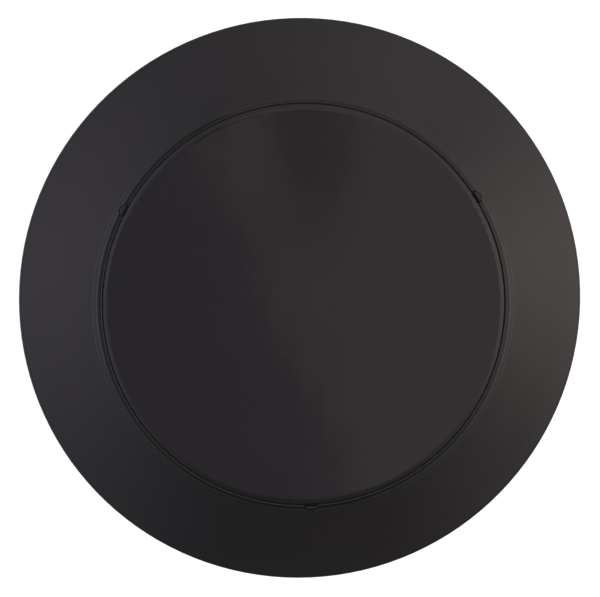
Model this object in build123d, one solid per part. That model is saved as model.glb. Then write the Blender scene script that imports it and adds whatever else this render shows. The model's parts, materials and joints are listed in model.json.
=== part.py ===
from build123d import *
import os
from math import cos, radians, sin

# Round roof vent cover for a motorhome or caravan holding-tank pipe.
# Millimetres. The origin is the centre of the gasket's underside, on the roof; +Z points up.
# The cover stands on the roof with its base flange. Three legs carry the domed brim, and the
# centre lid drops into a lip in the brim and lifts straight up for access to the pipe.

# ---- driving dimensions -------------------------------------------------------------------
LEG_ANGLES = (30, 150, 270)     # legs, and the D-shaped pegs that show beside the lid
CLIP_ANGLES = (90, 210, 330)    # lid clips, seal-ring screws: halfway between the legs
ROOF_SCREW_ANGLES = (0, 60, 120, 180, 240, 300)

BRIM_R = 117.5                  # outside of the cover
BRIM_EDGE_Z = 22.0              # lowest point of the brim, above the roof
BRIM_WALL = 2.2
BRIM_SLOPE_IN = 22.0            # degrees below level where the brim leaves the lip
BRIM_SLOPE_OUT = 43.0           # degrees below level at the brim's edge
BRIM_ARC_IN_R = 87.2            # the domed annulus starts here
BRIM_ARC_OUT_R = 116.4          # and ends here, at the rounded edge
BRIM_RIBS = 12

LIP_R = 83.12                   # inside of the lip that the lid presses into
LIP_TOP_Z = 45.2
LIP_STEP = 2.0                  # height of the lip above the start of the domed annulus
LEDGE_TOP_Z = 40.0              # shelf under the lid
LEDGE_T = 2.0
ACCESS_R = 50.0                 # hand hole through the shelf
ACCESS_WALL = 2.0
ACCESS_DEPTH = 7.0

LID_R = 83.0
LID_TOP_Z = 46.0                # at the lid's rim
LID_CROWN = 0.8                 # rise of the lid's centre above its rim
LID_UNDER_Z = 43.6
LID_SKIRT_R = (77.5, 79.3)
LID_RIM_WALL = 1.8
LID_EDGE = (3.0, 1.5)           # width and height of the lid's rounded edge
LID_HUB_R = (11.2, 12.8)        # ring under the lid where its ribs meet
LID_RIB_H = 2.0
LID_BOSS_R = 3.4                # bosses for the cone's screws
RIB_T = 1.6

SEAL_T = 1.2                    # lid seal, between the shelf and the lid's skirt

CONE_TIP_Z = 30.0
CONE_R = 36.0                   # outside of the cone's flange
CONE_FLANGE_T = 1.8
CONE_WALL = 1.6
CONE_TIP_R = 5.0                # rounded tip
CONE_SIDE_R = 24.0              # top of the cone's straight side
CONE_SIDE_RISE = 0.416          # its rise per unit of radius
CONE_SCREW_R = 30.0             # distance of its screws from the centre
CONE_BOSS_H = 2.6               # the lid's bosses that the cone hangs from

CLIP_SCREW_R = 41.5
CLIP_T = 0.8
CLIP_WIDTH = 9.0
CLIP_FOOT = 4.0                 # from the screw to the foot's inner end
CLIP_GAP = 0.3                  # between the clip's bulge and the wall of the hand hole

GASKET_T = 3.0
FLANGE_R = 95.0
FLANGE_T = 3.0
ROOF_SCREW_PCD = 172.0
ROOF_SCREW_HOLE_R = 2.4
ROOF_SCREW_PAD = (5.2, 1.0)     # radius and height of the pad round each hole
DAM_R = (59.0, 60.4)            # low ring round the screen that keeps rain off the pipe
DAM_H = 3.0
DRAIN_WIDTH = 8.0
GUSSET_T = 2.0
GUSSET_FOOT_R = 46.0            # collar gussets reach out to here
GUSSET_TOP_Z = 15.0

PIPE_BORE_R = 24.2              # grips a 48.3 mm (1-1/2 inch) vent pipe
COLLAR_R = (29.0, 32.0)
COLLAR_TOP_Z = 18.0
BOOT_FLANGE_T = 1.5             # flange of the rubber pipe seal, on top of the collar
SEAL_RING_T = 2.0               # ring that clamps it
SEAL_SCREW_R = 34.6
SEAL_BOSS_R = 3.2
SEAL_EAR_R = 3.8

LEG_R = 72.0                    # distance of the legs and their screws from the centre
LEG_SECTION = (20.0, 14.0)      # radial and tangential size of a leg
LEG_PAD_T = 1.0
LEG_BOSS_R = 4.6
LEG_BOSS_TOP_Z = 16.0
LEG_RIM_T = 1.6                 # low rim round each leg's foot
LEG_RIM_H = 2.0
LEG_SCREW_R = 1.95              # M4
LEG_SCREW_HOLE_R = 2.2
LEG_WASHER_T = 0.8
INSERT_R = 2.9
INSERT_LENGTH = 8.0
PEG_FLAT_R = 83.3               # flat face of the D peg, towards the lid
PEG_SIDE_R = 84.2               # its straight sides end here
PEG_ROUND_R = 85.1              # crown of its round side
PEG_WIDTH = 4.8
PEG_TOP_Z = 45.4
PEG_LEVEL = 0.9                 # level part of the peg's top; the rest falls outward with the lip
PEG_FALL = 0.55
NOTCH_GAP = 0.35                # clearance round the peg; the notch opens fully to the lid

SCREEN_R = (54.0, 55.4)
SCREEN_WINDOWS = 24
WINDOW_WIDTH = 10.5
WINDOW_END = 3.5                # closed band at each end of the cage
MESH_T = 0.5

SMALL_SCREW_R = 1.2             # M2.5 self-tapping
SMALL_PILOT_R = 1.25
SMALL_HOLE_R = 1.5

# ---- derived heights ----------------------------------------------------------------------
PLATE_Z = GASKET_T              # underside of the flange plate
DECK_Z = GASKET_T + FLANGE_T    # top of the flange plate
LEDGE_Z = LEDGE_TOP_Z - LEDGE_T
LEG_TOP_Z = LEDGE_Z - LEG_PAD_T
BRIM_FOOT_Z = LIP_TOP_Z - LIP_STEP
CONE_FLANGE_Z = LID_UNDER_Z - CONE_BOSS_H
RING_SKIRT_R = COLLAR_R[1] - 0.5


# ---- helpers ------------------------------------------------------------------------------
def at(radius, angle, z=0.0):
    """Place at a radius and angle round the cover, turned to face outward."""
    return Rot(0, 0, angle) * Pos(radius, 0, z)


def bulged(start, end, rise):
    """Arc from start to end whose middle stands rise to the left of the chord."""
    length = ((end[0] - start[0]) ** 2 + (end[1] - start[1]) ** 2) ** 0.5
    across = (-(end[1] - start[1]) / length, (end[0] - start[0]) / length)
    middle = [(start[i] + end[i]) / 2 + across[i] * rise for i in (0, 1)]
    return ThreePointArc(start, tuple(middle), end)


def domed(radius, z, rise):
    """Arc from (radius, z) in to the axis, where it is level and rise higher."""
    sphere = (radius**2 + rise**2) / (2 * abs(rise))
    half = (radius / sphere) / 2
    drop = sphere * (1 - cos(half)) * (1 if rise > 0 else -1)
    return ThreePointArc((radius, z), (sphere * sin(half), z + rise - drop), (0, z + rise))


def turned(*edges):
    """Solid of revolution about Z from edges drawn as (radius, z)."""
    return revolve(Plane.XZ * make_face(Curve() + list(edges)), Axis.Z)


def turned_polygon(*points):
    return revolve(Plane.XZ * make_face(Polyline(*points, close=True)), Axis.Z)


def tube(inner, outer, low, high):
    return turned_polygon((inner, low), (outer, low), (outer, high), (inner, high))


def post(radius, low, high):
    """Upright cylinder between two heights."""
    return Pos(0, 0, low) * extrude(Circle(radius), high - low)


def prism(sketch, low, high):
    return Pos(0, 0, low) * extrude(sketch, high - low)


def radial_plate(thickness, *points):
    """Upright rib in the XZ plane, drawn as (radius, z) and centred on it."""
    return extrude(Plane.XZ * make_face(Polyline(*points, close=True)), thickness / 2, both=True)


def group(part, placements):
    """The same separate solid at several places."""
    return Compound(children=[place * part for place in placements])


def pan_screw(shank_r, length, head_r, head_h):
    """Pan-head screw with a cross recess; the underside of its head is at z = 0."""
    rounding = head_h * 0.55
    head = turned(
        Line((0, 0), (head_r, 0)),
        Line((head_r, 0), (head_r, head_h - rounding)),
        bulged((head_r, head_h - rounding), (head_r * 0.55, head_h), -0.07 * head_r),
        Line((head_r * 0.55, head_h), (0, head_h)),
        Line((0, head_h), (0, 0)),
    )
    taper, tip_r = shank_r * 0.8, shank_r * 0.32
    shank = turned_polygon((0, 0.2), (shank_r, 0.2), (shank_r, taper - length), (tip_r, -length), (0, -length))
    slot = Box(head_r * 1.05, head_r * 0.26, head_h * 0.5)
    cross = slot + Rot(0, 0, 90) * slot
    return head + shank - Pos(0, 0, head_h) * cross


def d_shape(flat_x, side_x, round_x, width):
    """D outline: straight across at flat_x, straight sides to side_x, then bulging out to round_x."""
    half = width / 2
    return make_face(
        Curve()
        + [
            Line((flat_x, -half), (side_x, -half)),
            ThreePointArc((side_x, -half), (round_x, 0), (side_x, half)),
            Line((side_x, half), (flat_x, half)),
            Line((flat_x, half), (flat_x, -half)),
        ]
    )


def brim_point(slope, inset=0.0):
    """Point of the domed annulus where it falls at this slope, set in below its outer skin."""
    arc_r = (BRIM_ARC_OUT_R - BRIM_ARC_IN_R) / (sin(radians(BRIM_SLOPE_OUT)) - sin(radians(BRIM_SLOPE_IN)))
    centre_r = BRIM_ARC_IN_R - arc_r * sin(radians(BRIM_SLOPE_IN))
    centre_z = BRIM_FOOT_Z - arc_r * cos(radians(BRIM_SLOPE_IN))
    reach = arc_r - inset
    return (centre_r + reach * sin(radians(slope)), centre_z + reach * cos(radians(slope)))


# ---- cap: brim and centre lid ---------------------------------------------------------------
def brim():
    """Domed annulus with its lip, the shelf under the lid and the wall round the hand hole."""
    slope_mid = (BRIM_SLOPE_IN + BRIM_SLOPE_OUT) / 2
    foot, shoulder = brim_point(BRIM_SLOPE_IN), brim_point(BRIM_SLOPE_OUT)
    under_foot = brim_point(BRIM_SLOPE_IN, BRIM_WALL)
    under_edge = brim_point(BRIM_SLOPE_OUT, BRIM_WALL)
    lip_round, edge_round = 0.2, 0.6
    lip_edge, lip_base = (LIP_R + 1.7, LIP_TOP_Z - 0.38), (LIP_R + 2.3, LIP_TOP_Z - 1.06)
    bead_edge, bead_base = (LIP_R + 3.5, LIP_TOP_Z - 1.55), (LIP_R + 3.8, LIP_TOP_Z - 1.9)
    quarter = 1 - cos(radians(45))      # rise of a quarter circle over its chord, per unit radius
    drip_r = BRIM_R - BRIM_WALL - 0.1
    wall_r = ACCESS_R + ACCESS_WALL
    wall_z = LEDGE_TOP_Z - ACCESS_DEPTH
    ring = turned(
        Line((LIP_R, LEDGE_TOP_Z), (LIP_R, LIP_TOP_Z - lip_round)),
        bulged((LIP_R, LIP_TOP_Z - lip_round), (LIP_R + lip_round, LIP_TOP_Z), quarter * lip_round),
        Line((LIP_R + lip_round, LIP_TOP_Z), lip_edge),
        Line(lip_edge, lip_base),
        Line(lip_base, bead_edge),
        Line(bead_edge, bead_base),
        Line(bead_base, foot),
        ThreePointArc(foot, brim_point(slope_mid), shoulder),
        bulged(shoulder, (BRIM_R, BRIM_EDGE_Z + 1.5), 0.25),
        Line((BRIM_R, BRIM_EDGE_Z + 1.5), (BRIM_R, BRIM_EDGE_Z + edge_round)),
        bulged((BRIM_R, BRIM_EDGE_Z + edge_round), (BRIM_R - edge_round, BRIM_EDGE_Z), quarter * edge_round),
        Line((BRIM_R - edge_round, BRIM_EDGE_Z), (drip_r, BRIM_EDGE_Z)),
        Line((drip_r, BRIM_EDGE_Z), under_edge),
        ThreePointArc(under_edge, brim_point(slope_mid, BRIM_WALL), under_foot),
        Line(under_foot, (LIP_R + 2.3, LEDGE_Z)),
        Line((LIP_R + 2.3, LEDGE_Z), (wall_r, LEDGE_Z)),
        Line((wall_r, LEDGE_Z), (wall_r, wall_z)),
        Line((wall_r, wall_z), (ACCESS_R, wall_z)),
        Line((ACCESS_R, wall_z), (ACCESS_R, LEDGE_TOP_Z)),
        Line((ACCESS_R, LEDGE_TOP_Z), (LIP_R, LEDGE_TOP_Z)),
    )
    rib = radial_plate(
        RIB_T,
        (LIP_R + 1.0, LEDGE_Z + 1),
        brim_point(BRIM_SLOPE_OUT - 7, BRIM_WALL * 1.6),
        brim_point(BRIM_SLOPE_OUT - 7, BRIM_WALL / 2),
        brim_point(slope_mid, BRIM_WALL / 2),
        (LIP_R + 1.0, BRIM_FOOT_Z - BRIM_WALL),
    )
    for i in range(BRIM_RIBS):
        ring += Rot(0, 0, 360 / BRIM_RIBS * (i + 0.5)) * rib
    notch = d_shape(LIP_R - 1, PEG_SIDE_R, PEG_ROUND_R + NOTCH_GAP, PEG_WIDTH + 2 * NOTCH_GAP)
    for angle in LEG_ANGLES:
        ring -= Rot(0, 0, angle) * prism(notch, LEDGE_Z - 1, LIP_TOP_Z + 1)
        ring -= at(LEG_R, angle) * post(LEG_SCREW_HOLE_R, LEDGE_Z - 1, LEDGE_TOP_Z + 1)
    return ring


def centre_lid():
    """Shallow-crowned disc with a rolled rim, a skirt that stands on the seal, ribs and screw bosses."""
    rim_in = LID_R - LID_RIM_WALL
    rim_z = LID_UNDER_Z - 1.4
    skirt_in, skirt_out = LID_SKIRT_R
    skirt_z = LEDGE_TOP_Z + SEAL_T
    edge_r, edge_z = LID_R - LID_EDGE[0], LID_TOP_Z - LID_EDGE[1]
    lid = turned(
        Line((0, LID_UNDER_Z), (skirt_in, LID_UNDER_Z)),
        Line((skirt_in, LID_UNDER_Z), (skirt_in, skirt_z)),
        Line((skirt_in, skirt_z), (skirt_out, skirt_z)),
        Line((skirt_out, skirt_z), (skirt_out, LID_UNDER_Z)),
        Line((skirt_out, LID_UNDER_Z), (rim_in, LID_UNDER_Z)),
        Line((rim_in, LID_UNDER_Z), (rim_in, rim_z)),
        Line((rim_in, rim_z), (LID_R, rim_z)),
        Line((LID_R, rim_z), (LID_R, edge_z)),
        bulged((LID_R, edge_z), (edge_r, LID_TOP_Z), -0.13 * LID_EDGE[0]),
        domed(edge_r, LID_TOP_Z, LID_CROWN),
        Line((0, LID_TOP_Z + LID_CROWN), (0, LID_UNDER_Z)),
    )
    rib_z, root_z = LID_UNDER_Z - LID_RIB_H, LID_UNDER_Z + 0.5
    rib_in, rib_out = LID_HUB_R[0] + 0.8, skirt_in + 0.5
    rib = radial_plate(RIB_T, (rib_in, rib_z), (rib_out, rib_z), (rib_out, root_z), (rib_in, root_z))
    for i in range(6):
        lid += Rot(0, 0, 60 * i) * rib
    lid += tube(*LID_HUB_R, rib_z, root_z)
    for angle in LEG_ANGLES:
        lid += at(CONE_SCREW_R, angle) * post(LID_BOSS_R, CONE_FLANGE_Z, root_z)
        lid -= at(CONE_SCREW_R, angle) * post(SMALL_PILOT_R, CONE_FLANGE_Z - 1, LID_UNDER_Z + 1.4)
    for angle in CLIP_ANGLES:
        lid -= at(CLIP_SCREW_R, angle) * post(SMALL_PILOT_R, LID_UNDER_Z - 1, LID_UNDER_Z + 1.8)
    return lid


# ---- lid fittings ---------------------------------------------------------------------------
def siphon_cone():
    """Hollow cone under the lid: it parts the crosswind over the pipe's mouth."""
    top, under = CONE_FLANGE_Z, CONE_FLANGE_Z - CONE_FLANGE_T
    tip_r, tip_rise, side_r = CONE_TIP_R, 1.0, CONE_SIDE_R
    side_z = CONE_TIP_Z + tip_rise + (side_r - tip_r) * CONE_SIDE_RISE
    cone = turned(
        domed(tip_r, CONE_TIP_Z + tip_rise, -tip_rise),
        Line((tip_r, CONE_TIP_Z + tip_rise), (side_r, side_z)),
        bulged((side_r, side_z), (side_r + 2, under), 0.05),
        Line((side_r + 2, under), (CONE_R, under)),
        bulged((CONE_R, under), (CONE_R, top), -0.6),
        Line((CONE_R, top), (side_r + 1, top)),
        Line((side_r + 1, top), (side_r, side_z + CONE_WALL)),
        Line((side_r, side_z + CONE_WALL), (tip_r, CONE_TIP_Z + tip_rise + CONE_WALL)),
        domed(tip_r, CONE_TIP_Z + tip_rise + CONE_WALL, -tip_rise),
        Line((0, CONE_TIP_Z + CONE_WALL), (0, CONE_TIP_Z)),
    )
    for angle in LEG_ANGLES:
        cone -= at(CONE_SCREW_R, angle) * post(SMALL_HOLE_R, under - 1, top + 1)
    return cone


def cone_screws():
    screw = Rot(180, 0, 0) * pan_screw(SMALL_SCREW_R, 5.2, 2.5, 1.6)
    return group(screw, [at(CONE_SCREW_R, a, CONE_FLANGE_Z - CONE_FLANGE_T) for a in LEG_ANGLES])


def lid_clip():
    """Spring strip: a foot under the lid, then a finger that bows out to the hand hole's wall."""
    top, foot, bow = LID_UNDER_Z, CLIP_SCREW_R - CLIP_FOOT, ACCESS_R - CLIP_GAP
    outer = [(foot, top), (bow - 3.5, top), (bow - 2.1, top - 1.2), (bow, top - 6.0), (bow - 2.7, top - 10.6)]
    inner = [(bow - 3.4, top - 10.3), (bow - 0.9, top - 6.0), (bow - 2.85, top - 1.5), (bow - 3.8, top - CLIP_T)]
    outline = outer + inner + [(foot, top - CLIP_T)]
    strip = radial_plate(CLIP_WIDTH, *outline)
    return strip - Pos(CLIP_SCREW_R, 0, 0) * post(SMALL_HOLE_R, top - 2, top + 1)


def clip_screws():
    screw = Rot(180, 0, 0) * pan_screw(SMALL_SCREW_R, 2.4, 2.4, 1.5)
    return group(screw, [at(CLIP_SCREW_R, a, LID_UNDER_Z - CLIP_T) for a in CLIP_ANGLES])


def lid_seal():
    return tube(LID_SKIRT_R[0] - 1, LID_SKIRT_R[1] + 1, LEDGE_TOP_Z, LEDGE_TOP_Z + SEAL_T)


# ---- legs and their fasteners ---------------------------------------------------------------
def support_leg():
    """Hollow post with an arm that ends in the D-shaped peg, which keys the brim."""
    leg = Pos(LEG_R, 0, 0) * prism(SlotOverall(*LEG_SECTION), DECK_Z, LEG_TOP_Z)
    arm = radial_plate(
        PEG_WIDTH + 2.4,
        (LEG_R + 6, LEG_TOP_Z - 11),
        (PEG_ROUND_R + 0.6, LEG_TOP_Z - 3.2),
        (PEG_ROUND_R + 0.6, LEG_TOP_Z),
        (LEG_R + 6, LEG_TOP_Z),
    )
    peg = prism(d_shape(PEG_FLAT_R, PEG_SIDE_R, PEG_ROUND_R, PEG_WIDTH), LEG_TOP_Z - 1, PEG_TOP_Z)
    crest_r = PEG_FLAT_R + PEG_LEVEL
    peg -= radial_plate(
        PEG_WIDTH + 2,
        (crest_r, PEG_TOP_Z),
        (crest_r + 3, PEG_TOP_Z - 3 * PEG_FALL),
        (crest_r + 3, PEG_TOP_Z + 1),
        (crest_r, PEG_TOP_Z + 1),
    )
    peg = fillet(peg.faces().sort_by(Axis.Z)[-1].edges(), 0.2)
    leg = leg + arm + peg
    leg -= Pos(LEG_R, 0, 0) * post(LEG_BOSS_R + 0.2, DECK_Z - 1, LEG_BOSS_TOP_Z + 0.4)
    return leg - Pos(LEG_R, 0, 0) * post(LEG_SCREW_HOLE_R, DECK_Z, LEG_TOP_Z + 1)


def leg_pads():
    pad = prism(SlotOverall(LEG_SECTION[0] - 1, LEG_SECTION[1] - 1), LEG_TOP_Z, LEDGE_Z)
    pad -= post(LEG_SCREW_HOLE_R, LEG_TOP_Z - 1, LEDGE_Z + 1)
    return group(pad, [at(LEG_R, a) for a in LEG_ANGLES])


def leg_screws():
    screw = pan_screw(LEG_SCREW_R, LEDGE_TOP_Z + LEG_WASHER_T - LEG_BOSS_TOP_Z + INSERT_LENGTH - 1.5, 3.7, 2.3)
    return group(screw, [at(LEG_R, a, LEDGE_TOP_Z + LEG_WASHER_T) for a in LEG_ANGLES])


def leg_washers():
    washer = tube(LEG_SCREW_HOLE_R, 4.5, LEDGE_TOP_Z, LEDGE_TOP_Z + LEG_WASHER_T)
    return group(washer, [at(LEG_R, a) for a in LEG_ANGLES])


def leg_inserts():
    insert = tube(LEG_SCREW_R + 0.05, INSERT_R, LEG_BOSS_TOP_Z - INSERT_LENGTH, LEG_BOSS_TOP_Z)
    insert -= tube(INSERT_R - 0.3, INSERT_R + 1, LEG_BOSS_TOP_Z - 4.6, LEG_BOSS_TOP_Z - 3.4)
    return group(insert, [at(LEG_R, a) for a in LEG_ANGLES])


# ---- base -----------------------------------------------------------------------------------
def base_flange():
    """Roof plate with the pipe collar, leg bosses and foot rims, drain dam and screw pads."""
    collar_in, collar_out = COLLAR_R
    skirt_z = 1.0
    flange = turned(
        Line((collar_in, PLATE_Z), (FLANGE_R - 3, PLATE_Z)),
        Line((FLANGE_R - 3, PLATE_Z), (FLANGE_R - 3, skirt_z)),
        Line((FLANGE_R - 3, skirt_z), (FLANGE_R, skirt_z)),
        Line((FLANGE_R, skirt_z), (FLANGE_R, DECK_Z - 2)),
        bulged((FLANGE_R, DECK_Z - 2), (FLANGE_R - 2, DECK_Z), -0.58),
        Line((FLANGE_R - 2, DECK_Z), (collar_out, DECK_Z)),
        Line((collar_out, DECK_Z), (collar_out, COLLAR_TOP_Z)),
        Line((collar_out, COLLAR_TOP_Z), (collar_in, COLLAR_TOP_Z)),
        Line((collar_in, COLLAR_TOP_Z), (collar_in, PLATE_Z)),
    )
    dam = tube(*DAM_R, DECK_Z - 0.5, DECK_Z + DAM_H)
    drain = Pos(DAM_R[0], 0, DECK_Z + DAM_H / 2) * Box(6, DRAIN_WIDTH, DAM_H)
    for angle in ROOF_SCREW_ANGLES:
        dam -= Rot(0, 0, angle) * drain
    flange += dam
    gusset = radial_plate(
        GUSSET_T,
        (collar_out - 1, DECK_Z - 1),
        (GUSSET_FOOT_R, DECK_Z - 1),
        (GUSSET_FOOT_R, DECK_Z),
        (collar_out - 1, GUSSET_TOP_Z),
    )
    pad_r, pad_h = ROOF_SCREW_PAD
    for angle in ROOF_SCREW_ANGLES:
        flange += Rot(0, 0, angle) * gusset
        flange += at(ROOF_SCREW_PCD / 2, angle) * post(pad_r, DECK_Z - 0.5, DECK_Z + pad_h)
        flange -= at(ROOF_SCREW_PCD / 2, angle) * post(ROOF_SCREW_HOLE_R, 0, DECK_Z + pad_h + 1)
    inner_l, inner_w = LEG_SECTION[0] + 0.4, LEG_SECTION[1] + 0.4
    foot_rim = SlotOverall(inner_l + 2 * LEG_RIM_T, inner_w + 2 * LEG_RIM_T) - SlotOverall(inner_l, inner_w)
    for angle in LEG_ANGLES:
        flange += at(LEG_R, angle) * prism(foot_rim, DECK_Z - 0.5, DECK_Z + LEG_RIM_H)
        flange += at(LEG_R, angle) * post(LEG_BOSS_R, DECK_Z - 0.5, LEG_BOSS_TOP_Z)
        flange -= at(LEG_R, angle) * post(INSERT_R, LEG_BOSS_TOP_Z - INSERT_LENGTH, LEG_BOSS_TOP_Z + 1)
    for angle in CLIP_ANGLES:
        boss = at(SEAL_SCREW_R, angle) * post(SEAL_BOSS_R, DECK_Z - 0.5, COLLAR_TOP_Z)
        flange += boss - post(collar_out - 1, 0, COLLAR_TOP_Z + 1)
        flange -= at(SEAL_SCREW_R, angle) * post(SMALL_PILOT_R, DECK_Z + 3, COLLAR_TOP_Z + 1)
    return flange


def roof_gasket():
    gasket = tube(36.0, FLANGE_R - 3.3, 0, GASKET_T)
    for angle in ROOF_SCREW_ANGLES:
        gasket -= at(ROOF_SCREW_PCD / 2, angle) * post(ROOF_SCREW_HOLE_R, -1, GASKET_T + 1)
    return gasket


def pipe_seal():
    """Rubber boot: a tapered sleeve with a ribbed outside that hangs in the collar by its flange."""
    top = COLLAR_TOP_Z + BOOT_FLANGE_T
    sleeve_r = COLLAR_R[0] - 0.2
    return turned_polygon(
        (PIPE_BORE_R, 5.0),
        (PIPE_BORE_R + 1.6, 5.0),
        (sleeve_r, 9.0),
        (sleeve_r, 11.0),
        (sleeve_r - 1.2, 11.6),
        (sleeve_r - 1.2, 13.0),
        (sleeve_r, 13.6),
        (sleeve_r, COLLAR_TOP_Z),
        (RING_SKIRT_R - 0.1, COLLAR_TOP_Z),
        (RING_SKIRT_R - 0.1, top),
        (PIPE_BORE_R, top),
    )


def pipe_seal_ring():
    """Ring that clamps the boot's flange to the collar, with three screw ears."""
    low, mid = COLLAR_TOP_Z, COLLAR_TOP_Z + BOOT_FLANGE_T
    top = mid + SEAL_RING_T
    ring = turned_polygon(
        (PIPE_BORE_R + 1.4, mid),
        (RING_SKIRT_R, mid),
        (RING_SKIRT_R, low),
        (COLLAR_R[1] + 1.2, low),
        (COLLAR_R[1] + 1.2, top - 0.6),
        (COLLAR_R[1] + 0.6, top),
        (PIPE_BORE_R + 1.8, top),
        (PIPE_BORE_R + 1.4, top - 0.4),
    )
    for angle in CLIP_ANGLES:
        ear = at(SEAL_SCREW_R, angle) * post(SEAL_EAR_R, low, top)
        ring += ear - post(COLLAR_R[1] + 0.5, low - 1, top + 1)
        ring -= at(SEAL_SCREW_R, angle) * post(SMALL_HOLE_R, low - 1, top + 1)
    return ring


def seal_ring_screws():
    head_z = COLLAR_TOP_Z + BOOT_FLANGE_T + SEAL_RING_T
    return group(pan_screw(SMALL_SCREW_R, 11.0, 2.6, 1.7), [at(SEAL_SCREW_R, a, head_z) for a in CLIP_ANGLES])


def screen_cage():
    """Round cage between the plate and the shelf, with tall windows for the air."""
    cage = tube(SCREEN_R[0], SCREEN_R[1], DECK_Z, LEDGE_Z)
    window_h = LEDGE_Z - DECK_Z - 2 * WINDOW_END
    window = Pos(SCREEN_R[1], 0, (DECK_Z + LEDGE_Z) / 2) * Box(6, WINDOW_WIDTH, window_h)
    for i in range(SCREEN_WINDOWS):
        cage -= Rot(0, 0, 360 / SCREEN_WINDOWS * i) * window
    return cage


def screen_mesh():
    """Fine wire cloth rolled inside the cage, as one thin sleeve."""
    outer = SCREEN_R[0] - 0.1
    return tube(outer - MESH_T, outer, DECK_Z + 0.5, LEDGE_Z - 0.5)


# ---- write one STEP per sub-part --------------------------------------------------------------
pieces = {
    "brim": brim(),
    "centre_lid": centre_lid(),
    "lid_seal": lid_seal(),
    "siphon_cone": siphon_cone(),
    "cone_screws": cone_screws(),
    "clip_screws": clip_screws(),
    "leg_pads": leg_pads(),
    "leg_screws": leg_screws(),
    "leg_washers": leg_washers(),
    "leg_inserts": leg_inserts(),
    "screen_cage": screen_cage(),
    "screen_mesh": screen_mesh(),
    "base_flange": base_flange(),
    "roof_gasket": roof_gasket(),
    "pipe_seal": pipe_seal(),
    "pipe_seal_ring": pipe_seal_ring(),
    "seal_ring_screws": seal_ring_screws(),
}
for number, angle in enumerate(LEG_ANGLES, start=1):
    pieces[f"support_leg_{number}"] = Rot(0, 0, angle) * support_leg()
for number, angle in enumerate(CLIP_ANGLES, start=1):
    pieces[f"lid_clip_{number}"] = Rot(0, 0, angle) * lid_clip()

os.makedirs("parts", exist_ok=True)
for name, piece in pieces.items():
    export_step(piece, f"parts/{name}.step")
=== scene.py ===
import json
import math

import bpy
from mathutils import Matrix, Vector

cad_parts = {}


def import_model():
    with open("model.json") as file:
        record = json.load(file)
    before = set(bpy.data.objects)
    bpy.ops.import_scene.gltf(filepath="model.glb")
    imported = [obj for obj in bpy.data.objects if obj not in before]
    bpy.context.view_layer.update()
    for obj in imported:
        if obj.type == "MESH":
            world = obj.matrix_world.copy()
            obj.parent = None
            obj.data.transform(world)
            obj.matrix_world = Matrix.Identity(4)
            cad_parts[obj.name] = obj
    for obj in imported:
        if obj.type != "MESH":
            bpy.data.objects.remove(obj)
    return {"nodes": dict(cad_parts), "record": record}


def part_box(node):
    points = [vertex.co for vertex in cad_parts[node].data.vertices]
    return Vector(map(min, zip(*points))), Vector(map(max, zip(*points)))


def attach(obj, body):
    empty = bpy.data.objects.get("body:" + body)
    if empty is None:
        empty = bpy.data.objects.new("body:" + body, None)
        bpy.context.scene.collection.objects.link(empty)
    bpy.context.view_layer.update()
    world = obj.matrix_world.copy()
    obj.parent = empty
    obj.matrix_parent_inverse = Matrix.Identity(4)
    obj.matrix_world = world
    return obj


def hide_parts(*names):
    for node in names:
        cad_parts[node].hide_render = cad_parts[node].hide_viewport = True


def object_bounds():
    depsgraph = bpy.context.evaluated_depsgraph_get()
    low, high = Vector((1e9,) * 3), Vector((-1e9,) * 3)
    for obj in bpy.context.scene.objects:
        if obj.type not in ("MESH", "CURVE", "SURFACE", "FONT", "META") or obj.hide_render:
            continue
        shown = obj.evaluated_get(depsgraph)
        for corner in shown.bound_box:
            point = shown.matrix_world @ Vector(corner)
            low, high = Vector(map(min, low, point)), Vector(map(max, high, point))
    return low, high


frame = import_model()
cad_low, cad_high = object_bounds()

# ---- places read from the frame, in metres ---------------------------------------------------
MM = 0.001
nodes = frame["nodes"]
BRIM_LOW, BRIM_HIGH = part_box("brim")
LID_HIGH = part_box("centre_lid")[1]
BRIM_R = BRIM_HIGH.x
BRIM_EDGE_Z = BRIM_LOW.z
LID_R = LID_HIGH.x
LID_TOP_Z = LID_HIGH.z
GAP_R = LID_R + 0.06 * MM               # middle of the crevice round the lid
LIP_R = LID_R + 0.8 * MM                # middle of the lip's inner part

# ---- camera ----------------------------------------------------------------------------------
CAMERA_DISTANCE = 1.2
CAMERA_TILT = math.radians(6.35)        # off the vertical axis
CAMERA_HEADING = math.radians(121.2)    # the side of the axis it stands on, from +X
CAMERA_ROLL = math.radians(-2.0)        # turned about the line of sight
VIEW_WIDTH = 2.133 * BRIM_R             # width of the view at the height of the brim's edge
CAMERA_AIM = Vector((-0.5 * MM, 0.8 * MM, BRIM_EDGE_Z + 1.5 * MM))
SENSOR = 36.0

# ---- light -----------------------------------------------------------------------------------
# The side light comes from bands round the horizon; heights are angles above it, in degrees.
FLOOR_GLOW = 0.85
FLOOR_HALF = 3.0
AMBIENT = (0.170, 0.160, 0.170)
BANDS = (                               # azimuth and half width in degrees, strength, tint
    (0, 45, 0.82, (1.16, 1.0, 0.90)),
    (50, 80, 0.48, (1.12, 1.0, 1.03)),
    (112, 50, 0.09, (1.0, 1.0, 1.05)),
    (174, 85, 0.56, (1.06, 1.0, 1.20)),
    (325, 40, 0.26, (1.08, 1.0, 0.97)),
)
SIDE_DIM_HEIGHT, SIDE_FULL_HEIGHT = -5, 25
SIDE_DIM = 0.78                         # what is left of the side light at its dim height
OVERHEAD_START, OVERHEAD_FULL = 48, 68  # the side light gives way to the overhead light here
OVERHEAD_TURN = math.radians(20.0)      # the overhead light's edge is square to this azimuth
OVERHEAD_EDGE = 0.005
OVERHEAD_SOFT = 0.006
OVERHEAD_DIM = (0.33, 0.31, 0.345)
OVERHEAD_PALE = (0.61, 0.565, 0.586)
BOOM_X, BOOM_HALF_WIDTH = 0.064, 0.026  # a darker boom across the pale half, along Y
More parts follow.
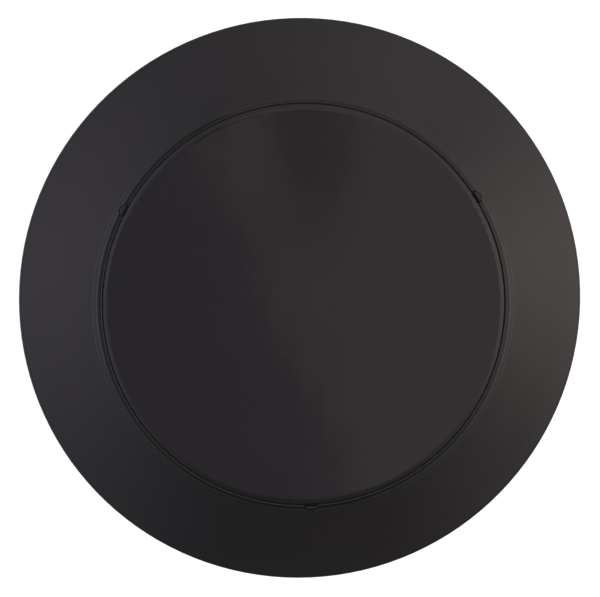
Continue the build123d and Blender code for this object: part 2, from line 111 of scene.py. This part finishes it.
BOOM_NEAR_Y = (-0.08, -0.02)            # it fades in over this stretch, and out over the next
BOOM_FAR_Y = (0.10, 0.16)
BOOM_TONE = (0.13, 0.13, 0.135)
LENS_RADIUS = math.radians(5.5)         # a dark spot in the overhead light, where the camera stands
LENS_TONE = (0.06, 0.06, 0.06)
TABLE_WHITE = (0.8, 0.8, 0.8)           # seen in the gloss below the horizon, as a table top would be
TABLE_START, TABLE_FULL = -18, -40
TABLE_RISE = (172, 42, 0.45)            # azimuth, half width, and how far up that white reaches there
BACKDROP = (1.0, 1.0, 1.0)              # what the camera itself sees behind the object


# ---- shader helpers --------------------------------------------------------------------------
class Tree:
    """A node tree, with short calls for the nodes used here."""

    def __init__(self, tree):
        self.tree = tree
        self.tree.nodes.clear()

    def node(self, kind, **settings):
        node = self.tree.nodes.new(kind)
        for key, value in settings.items():
            setattr(node, key, value)
        return node

    def link(self, source, target):
        self.tree.links.new(source, target)

    def plug(self, value, socket):
        """Links a socket's output, or sets a plain number, vector or colour."""
        if isinstance(value, bpy.types.NodeSocket):
            self.link(value, socket)
        elif isinstance(value, tuple) and socket.type == "RGBA":
            socket.default_value = (*value, 1.0)
        else:
            socket.default_value = value

    def math(self, operation, *values):
        node = self.node("ShaderNodeMath", operation=operation)
        for socket, value in zip(node.inputs, values):
            self.plug(value, socket)
        return node.outputs[0]

    def vector(self, operation, *values):
        node = self.node("ShaderNodeVectorMath", operation=operation)
        for socket, value in zip(node.inputs, values):
            self.plug(value, socket)
        return node.outputs["Value" if operation in ("DOT_PRODUCT", "DISTANCE", "LENGTH") else "Vector"]

    def scaled(self, vector, factor):
        node = self.node("ShaderNodeVectorMath", operation="SCALE")
        self.plug(vector, node.inputs[0])
        self.plug(factor, node.inputs["Scale"])
        return node.outputs["Vector"]

    def span(self, value, low, high, to_low=0.0, to_high=1.0, smooth=False):
        """Maps low..high to to_low..to_high, and holds it there beyond."""
        node = self.node("ShaderNodeMapRange")
        node.interpolation_type = "SMOOTHSTEP" if smooth else "LINEAR"
        self.link(value, node.inputs["Value"])
        for key, number in zip(("From Min", "From Max", "To Min", "To Max"), (low, high, to_low, to_high)):
            node.inputs[key].default_value = number
        return node.outputs["Result"]

    def ring(self, radius, middle, full, gone):
        """1 within full of the middle radius, falling to 0 at gone."""
        away = self.math("ABSOLUTE", self.math("SUBTRACT", radius, middle))
        return self.span(away, full, gone, 1.0, 0.0)

    def mix(self, factor, first, second):
        node = self.node("ShaderNodeMix", data_type="RGBA")
        self.plug(factor, node.inputs["Factor"])
        self.plug(first, node.inputs[6])
        self.plug(second, node.inputs[7])
        return node.outputs[2]


class Shader(Tree):
    """A material with a Principled shader, textured in the row frame."""

    def __init__(self, name, **constants):
        self.material = bpy.data.materials.new(name)
        self.material.use_nodes = True
        super().__init__(self.material.node_tree)
        self.bsdf = self.node("ShaderNodeBsdfPrincipled")
        self.link(self.bsdf.outputs[0], self.node("ShaderNodeOutputMaterial").inputs["Surface"])
        self.place = self.node("ShaderNodeTexCoord").outputs["Object"]
        for key, value in constants.items():
            self.bsdf.inputs[key.replace("_", " ")].default_value = value

    def noise(self, scale, detail=2.0, rough=0.5, place=None):
        node = self.node("ShaderNodeTexNoise")
        self.link(place or self.place, node.inputs["Vector"])
        node.inputs["Scale"].default_value = scale
        node.inputs["Detail"].default_value = detail
        node.inputs["Roughness"].default_value = rough
        return node.outputs["Fac"]

    def bump(self, height, distance, under=None):
        node = self.node("ShaderNodeBump")
        self.link(height, node.inputs["Height"])
        node.inputs["Distance"].default_value = distance
        if under is not None:
            self.link(under, node.inputs["Normal"])
        return node.outputs["Normal"]

    def radius(self):
        """Distance from the cover's vertical axis."""
        return self.vector("LENGTH", self.vector("MULTIPLY", self.place, (1.0, 1.0, 0.0)))

    def finish(self, colour=None, roughness=None, normal=None):
        for value, key in ((colour, "Base Color"), (roughness, "Roughness"), (normal, "Normal")):
            if value is not None:
                self.link(value, self.bsdf.inputs[key])
        return self.material


# ---- materials -------------------------------------------------------------------------------
def cover_plastic():
    """Black moulded plastic of the brim and lid: semi-gloss, slightly wavy, with faint dust specks, painted
    shade on the lip's inner part and painted light in the crevice.
    """
    s = Shader("cover_plastic", IOR=1.5)
    radius = s.radius()
    base = s.mix(s.span(s.noise(9.0, 3.0), 0.3, 0.7), (0.0150, 0.0142, 0.0150), (0.0178, 0.0168, 0.0178))
    base = s.mix(pale_spot(s), base, (0.030, 0.027, 0.028))
    base = s.mix(dust_specks(s), base, (0.09, 0.088, 0.085))
    # Painted shade: the lip's inner part is painted darker than the plastic around it.
    base = s.mix(s.ring(radius, LIP_R, 0.4 * MM, 0.8 * MM), base, (0.003, 0.003, 0.003))
    # Painted light: the crevice round the lid is painted lighter than the plastic around it, lifting its
    # shade.
    base = s.mix(s.ring(radius, GAP_R, 0.08 * MM, 0.30 * MM), base, (0.12, 0.113, 0.111))
    smudge = s.span(s.noise(26.0, 4.0, 0.6), 0.25, 0.75, 0.06, 0.09)
    wave = s.bump(s.noise(13.0, 1.0), 0.4 * MM)
    wave = s.bump(s.noise(45.0, 2.0), 0.08 * MM, under=wave)
    flow_lines = s.math("SINE", s.math("MULTIPLY", radius, 2600.0))
    wave = s.bump(flow_lines, 0.001 * MM, under=wave)
    grain = s.bump(s.noise(2600.0, 2.0), 0.005 * MM, under=wave)
    return s.finish(base, smudge, grain)


def pale_spot(s):
    """How strong the soft, slightly paler spot on the lid is."""
    centre = (-0.024, 0.059, LID_TOP_Z)
    spot = s.span(s.vector("DISTANCE", s.place, centre), 4 * MM, 24 * MM, 1.0, 0.0, smooth=True)
    return s.math("MULTIPLY", spot, 0.3)


def dust_specks(s):
    """Small specks, only in some places."""
    cells = s.node("ShaderNodeTexVoronoi", feature="F1")
    s.link(s.place, cells.inputs["Vector"])
    cells.inputs["Scale"].default_value = 150.0
    speck = s.span(cells.outputs["Distance"], 0.02, 0.05, 1.0, 0.0)
    some_places = s.span(s.noise(37.0), 0.60, 0.66, 0.0, 0.5)
    return s.math("MULTIPLY", speck, some_places)


def moulded_plastic(name, colour, rough, grain):
    """Plainer black moulding for the hidden parts, with a fine spark-eroded grain."""
    s = Shader(name, IOR=1.5)
    tone = s.mix(s.span(s.noise(40.0, 3.0), 0.3, 0.7), tuple(c * 0.8 for c in colour), colour)
    worn = s.span(s.noise(60.0, 3.0), 0.3, 0.7, rough - 0.04, rough + 0.05)
    return s.finish(tone, worn, s.bump(s.noise(1800.0, 3.0), grain))


def rubber(name, colour, rough=0.75):
    s = Shader(name, IOR=1.45, Sheen_Weight=0.05)
    tone = s.mix(s.span(s.noise(80.0, 4.0), 0.3, 0.7), tuple(c * 0.75 for c in colour), colour)
    dull = s.span(s.noise(200.0, 2.0), 0.3, 0.7, rough - 0.06, rough + 0.08)
    return s.finish(tone, dull, s.bump(s.noise(900.0, 4.0, 0.6), 0.04 * MM))


def metal(name, colour, rough, stretch=(60.0, 60.0, 900.0)):
    """Bare metal with fine drawn lines."""
    s = Shader(name, Metallic=1.0)
    lines = s.vector("MULTIPLY", s.place, stretch)
    streak = s.noise(4.0, 3.0, place=lines)
    tone = s.mix(s.span(streak, 0.3, 0.7), tuple(c * 0.82 for c in colour), colour)
    satin = s.span(streak, 0.3, 0.7, rough - 0.05, rough + 0.08)
    return s.finish(tone, satin, s.bump(streak, 0.006 * MM))


MATERIALS = {
    "cover_plastic": cover_plastic(),
    "inner_plastic": moulded_plastic("inner_plastic", (0.012, 0.012, 0.0125), 0.46, 0.02 * MM),
    "base_plastic": moulded_plastic("base_plastic", (0.013, 0.0125, 0.013), 0.50, 0.04 * MM),
    "leg_plastic": moulded_plastic("leg_plastic", (0.012, 0.0115, 0.012), 0.42, 0.02 * MM),
    "seal_rubber": rubber("seal_rubber", (0.012, 0.012, 0.0125)),
    "gasket_rubber": rubber("gasket_rubber", (0.11, 0.11, 0.105), 0.85),
    "stainless_screws": metal("stainless_screws", (0.60, 0.60, 0.58), 0.28),
    "spring_steel": metal("spring_steel", (0.52, 0.52, 0.51), 0.32),
    "insert_brass": metal("insert_brass", (0.70, 0.48, 0.20), 0.30),
    "wire_mesh": metal("wire_mesh", (0.42, 0.42, 0.41), 0.38),
}


def dress_cad_nodes():
    """Every CAD node gets the material of its slot."""
    for entry in frame["record"]["subparts"]:
        obj = nodes[entry["node"]]
        obj.data.materials.clear()
        obj.data.materials.append(MATERIALS[entry["material_slot"]])


# ---- woven screen ----------------------------------------------------------------------------
WIRE = 0.32 * MM
WIRE_SIDES = 5
UPRIGHTS = 188
HOOPS = 17


class Weave:
    """Collects the wires of the cloth as five-sided tubes."""

    def __init__(self):
        self.verts = []
        self.faces = []

    def section(self, centre, out, along):
        """Adds the corners of a wire's section, square to the way it runs."""
        across = out.cross(along).normalized()
        out = along.cross(across)
        first = len(self.verts)
        for i in range(WIRE_SIDES):
            turn = 2 * math.pi * i / WIRE_SIDES
            corner = out * math.cos(turn) + across * math.sin(turn)
            self.verts.append(tuple(centre + corner * (WIRE / 2)))
        return first

    def join(self, sections):
        """Skins the stretch between each section and the next."""
        for a, b in zip(sections, sections[1:]):
            for i in range(WIRE_SIDES):
                j = (i + 1) % WIRE_SIDES
                self.faces.append((a + i, a + j, b + j, b + i))

    def cap(self, sections):
        """Closes both ends of a wire."""
        self.faces.append(tuple(sections[0] + i for i in reversed(range(WIRE_SIDES))))
        self.faces.append(tuple(sections[-1] + i for i in range(WIRE_SIDES)))


def outward(angle):
    return Vector((math.cos(angle), math.sin(angle), 0.0))


def wire_cloth():
    """The sleeve of woven wire cloth inside the cage: upright wires and hoops, over and under each other."""
    low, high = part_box("screen_mesh")
    middle_r = high.x - WIRE
    bottom, top = low.z + WIRE, high.z - WIRE
    pitch = (top - bottom) / (HOOPS - 1)
    up = Vector((0.0, 0.0, 1.0))
    weave = Weave()

    for i in range(UPRIGHTS):
        out = outward(2 * math.pi * i / UPRIGHTS)
        side = 1 if i % 2 == 0 else -1
        sections = []
        for k in range(2 * HOOPS - 1):
            r = middle_r + side * WIRE / 2 * math.cos(math.pi * k / 2)
            sections.append(weave.section(out * r + up * (bottom + k * pitch / 2), out, up))
        weave.join(sections)
        weave.cap(sections)
    for k in range(HOOPS):
        side = -1 if k % 2 == 0 else 1
        height = up * (bottom + k * pitch)
        sections = []
        for i in range(2 * UPRIGHTS):
            out = outward(math.pi * i / UPRIGHTS)
            r = middle_r + side * WIRE / 2 * math.cos(math.pi * i / 2)
            sections.append(weave.section(out * r + height, out, Vector((-out.y, out.x, 0.0))))
        weave.join(sections + sections[:1])

    mesh = bpy.data.meshes.new("wire_cloth")
    mesh.from_pydata(weave.verts, [], weave.faces)
    mesh.shade_smooth()
    obj = bpy.data.objects.new("wire_cloth", mesh)
    bpy.context.scene.collection.objects.link(obj)
    obj.data.materials.append(MATERIALS["wire_mesh"])
    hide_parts("screen_mesh")
    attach(obj, "cover_base")


# ---- stage, light and camera -----------------------------------------------------------------
def floor():
    """Pale table top. It glows a little, as a light table does, so that no hard shadow falls on it."""
    mesh = bpy.data.meshes.new("floor")
    corners = [(x * FLOOR_HALF, y * FLOOR_HALF, cad_low.z) for x, y in ((-1, -1), (1, -1), (1, 1), (-1, 1))]
    mesh.from_pydata(corners, [], [(0, 1, 2, 3)])
    obj = bpy.data.objects.new("floor", mesh)
    bpy.context.scene.collection.objects.link(obj)
    s = Shader("floor_paper", Base_Color=(0.8, 0.8, 0.8, 1.0), Roughness=0.9, Specular_IOR_Level=0.0)
    s.bsdf.inputs["Emission Color"].default_value = (1.0, 1.0, 1.0, 1.0)
    s.bsdf.inputs["Emission Strength"].default_value = FLOOR_GLOW
    obj.data.materials.append(s.material)
    obj.visible_glossy = False


def camera_side():
    """Unit vector from the object towards the camera."""
    return Vector((
        math.sin(CAMERA_TILT) * math.cos(CAMERA_HEADING),
        math.sin(CAMERA_TILT) * math.sin(CAMERA_HEADING),
        math.cos(CAMERA_TILT),
    ))


def rise(degrees):
    """How far up a direction at this height above the horizon points."""
    return math.sin(math.radians(degrees))


def toward(t, level, azimuth):
    """Cosine of the angle between the level direction and an azimuth in degrees."""
    return t.vector("DOT_PRODUCT", level, tuple(outward(math.radians(azimuth))))


def side_light(t, level, up):
    """Ambient light and the soft bands round the horizon, weaker towards the floor."""
    light = AMBIENT
    for azimuth, half_width, strength, tint in BANDS:
        off = t.math("ARCCOSINE", toward(t, level, azimuth))
        band = t.span(off, 0.0, math.radians(half_width), strength, 0.0, smooth=True)
        light = t.vector("ADD", light, t.scaled(tint, band))
    return t.scaled(light, t.span(up, rise(SIDE_DIM_HEIGHT), rise(SIDE_FULL_HEIGHT), SIDE_DIM, 1.0))


def overhead_light(t, way):
    """A dim and a pale half, with a dark boom across the pale one and the camera's dark spot."""
    side = t.vector("DOT_PRODUCT", way, tuple(outward(OVERHEAD_TURN)))
    pale = t.span(side, OVERHEAD_EDGE - OVERHEAD_SOFT, OVERHEAD_EDGE + OVERHEAD_SOFT, smooth=True)
    light = t.mix(pale, OVERHEAD_DIM, OVERHEAD_PALE)
    parts = t.node("ShaderNodeSeparateXYZ")
    t.link(way, parts.inputs[0])
    x, y = parts.outputs["X"], parts.outputs["Y"]
    beside = t.math("ABSOLUTE", t.math("SUBTRACT", x, BOOM_X))
    boom = t.math(
        "MULTIPLY",
        t.span(beside, 0.0, BOOM_HALF_WIDTH, 1.0, 0.0, smooth=True),
        t.span(y, *BOOM_NEAR_Y, smooth=True),
    )
    boom = t.math("MULTIPLY", boom, t.span(y, *BOOM_FAR_Y, 1.0, 0.0, smooth=True))
    light = t.mix(boom, light, BOOM_TONE)
    near_lens = t.vector("DOT_PRODUCT", way, tuple(camera_side()))
    lens = t.span(near_lens, math.cos(LENS_RADIUS), math.cos(LENS_RADIUS * 0.8), smooth=True)
    return t.mix(lens, light, LENS_TONE)


def table_share(t, level, up):
    """How much of the table top's white shows in this direction."""
    azimuth, half_width, reach = TABLE_RISE
    lift = t.span(toward(t, level, azimuth), math.cos(math.radians(half_width)), 1.0, 0.0, reach, smooth=True)
    return t.span(t.math("SUBTRACT", up, lift), rise(TABLE_START), rise(TABLE_FULL), smooth=True)


def world():
    """Soft studio: bands of light all round, brightest at the right, and a half-pale light overhead."""
    scene_world = bpy.data.worlds.new("studio")
    scene_world.use_nodes = True
    t = Tree(scene_world.node_tree)
    background = t.node("ShaderNodeBackground")
    t.link(background.outputs[0], t.node("ShaderNodeOutputWorld").inputs["Surface"])
    way = t.node("ShaderNodeTexCoord").outputs["Generated"]
    level = t.vector("NORMALIZE", t.vector("MULTIPLY", way, (1.0, 1.0, 0.0)))
    up = t.vector("DOT_PRODUCT", way, (0.0, 0.0, 1.0))
    above = t.span(up, rise(OVERHEAD_START), rise(OVERHEAD_FULL), smooth=True)
    light = t.mix(above, side_light(t, level, up), overhead_light(t, way))
    light = t.mix(table_share(t, level, up), light, TABLE_WHITE)
    seen = t.node("ShaderNodeLightPath").outputs["Is Camera Ray"]
    t.link(t.mix(seen, light, BACKDROP), background.inputs["Color"])
    bpy.context.scene.world = scene_world


def camera():
    data = bpy.data.cameras.new("camera")
    data.sensor_width = SENSOR
    data.lens = SENSOR * CAMERA_DISTANCE / VIEW_WIDTH
    data.clip_end = 50.0
    obj = bpy.data.objects.new("camera", data)
    away = camera_side()
    up = Vector((-math.sin(CAMERA_ROLL), math.cos(CAMERA_ROLL), 0.0))
    side = up.cross(away).normalized()
    up = away.cross(side)
    rotation = obj.matrix_world.to_3x3()
    for i, axis in enumerate((side, up, away)):
        rotation.col[i] = axis
    obj.matrix_world = rotation.to_4x4()
    obj.location = CAMERA_AIM + away * CAMERA_DISTANCE
    bpy.context.scene.collection.objects.link(obj)
    bpy.context.scene.camera = obj


def studio():
    floor()
    world()
    bpy.context.scene.view_settings.view_transform = "Standard"


dress_cad_nodes()
wire_cloth()
studio()
camera()
